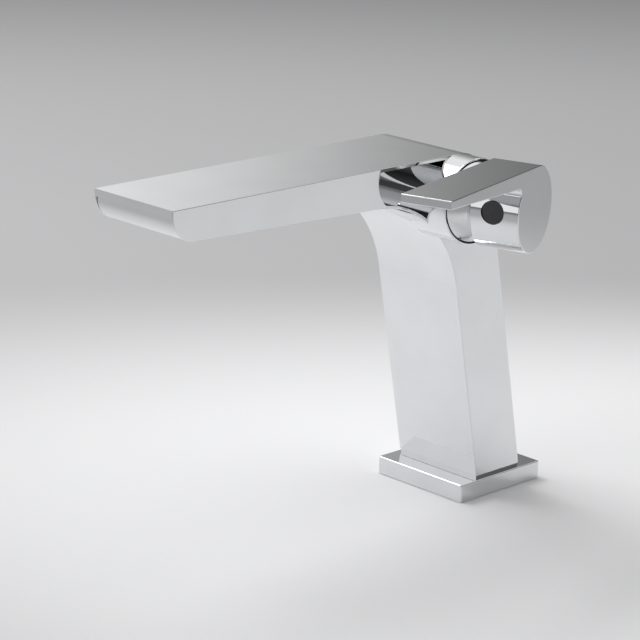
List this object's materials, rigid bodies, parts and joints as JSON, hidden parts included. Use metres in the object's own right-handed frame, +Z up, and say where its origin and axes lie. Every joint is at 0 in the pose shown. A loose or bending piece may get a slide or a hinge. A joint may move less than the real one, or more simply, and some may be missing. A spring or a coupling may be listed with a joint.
{
  "type": "waterfall basin faucet",
  "caption": "Deck-mounted basin faucet: leaning rectangular column, long flat spout that sheds fine strands of water, and a flat lever on a round barrel at the side.",
  "frame": {"origin": "centre of the base plate's footprint, on the deck", "axes": "+Z up from the deck, -Y towards the spout's tip, +X towards the lever"},
  "size_m": [0.1116, 0.2115, 0.2036],
  "materials": {
    "body_chrome": "mirror-polished chrome plate on cast brass",
    "frame_chrome": "mirror-polished chrome plate",
    "base_chrome": "mirror-polished chrome plate",
    "collar_chrome": "polished chrome plate",
    "dome_chrome": "mirror-polished chrome plate",
    "lever_chrome": "mirror-polished chrome plate on cast zinc",
    "nozzle_rubber": "satin silicone",
    "mesh_steel": "etched sheet",
    "seal_rubber": "smooth black rubber",
    "pad_rubber": "fine-grained black rubber",
    "fastener_steel": "machined stainless steel",
    "washer_steel": "zinc-plated pressed steel",
    "nut_brass": "machined brass",
    "stem_brass": "machined brass",
    "cartridge_plastic": "moulded off-white acetal",
    "carrier_plastic": "moulded grey acetal",
    "stop_plastic": "moulded red acetal",
    "disc_ceramic": "lapped ceramic",
    "plug_plastic": "smooth dark grey plastic"
  },
  "bodies": {
    "faucet": {"spout_body": "body_chrome", "outlet_frame": "frame_chrome", "nozzle_plate": "nozzle_rubber", "flow_mesh": "mesh_steel", "outlet_gasket": "seal_rubber", "outlet_screws": "fastener_steel", "base_plate": "base_chrome", "base_gasket": "pad_rubber", "foot_collar": "collar_chrome", "mounting_stud": "fastener_steel", "horseshoe_gasket": "pad_rubber", "horseshoe_washer": "washer_steel", "mounting_nut": "nut_brass", "cartridge_base": "cartridge_plastic", "cartridge_ring_seal": "seal_rubber", "port_seals": "seal_rubber", "cartridge_shell": "cartridge_plastic", "fixed_disc": "disc_ceramic", "temperature_stop": "stop_plastic", "cartridge_nut": "nut_brass", "trim_dome": "dome_chrome", "dome_seal": "seal_rubber"},
    "rotor": {"cartridge_rotor": "carrier_plastic", "stem_pin": "fastener_steel"},
    "disc": {"disc_carrier": "carrier_plastic", "moving_disc": "disc_ceramic"},
    "lever": {"lever_stem": "stem_brass", "lever_handle": "lever_chrome", "grub_screw": "fastener_steel", "screw_plug": "plug_plastic"}
  },
  "joints": [
    {"name": "temperature_turn", "type": "hinge", "parent": "faucet", "child": "rotor", "pos_m": [0.025, -0.033, 0.1359], "axis": [1, 0, 0], "range_deg": [-42.2, 47.8]},
    {"name": "flow_tilt", "type": "hinge", "parent": "rotor", "child": "lever", "pos_m": [0.025, -0.033, 0.1359], "axis": [0, 0.0488, 0.9988], "range_deg": [-20, 0]},
    {"name": "disc_slide", "type": "slide", "parent": "rotor", "child": "disc", "axis": [0, 0.9988, -0.0488], "range_m": [0, 0.0025]}
  ],
  "couplings": [
    {"joint": "disc_slide", "follows": "flow_tilt", "m_per_rad": -0.007153}
  ]
}
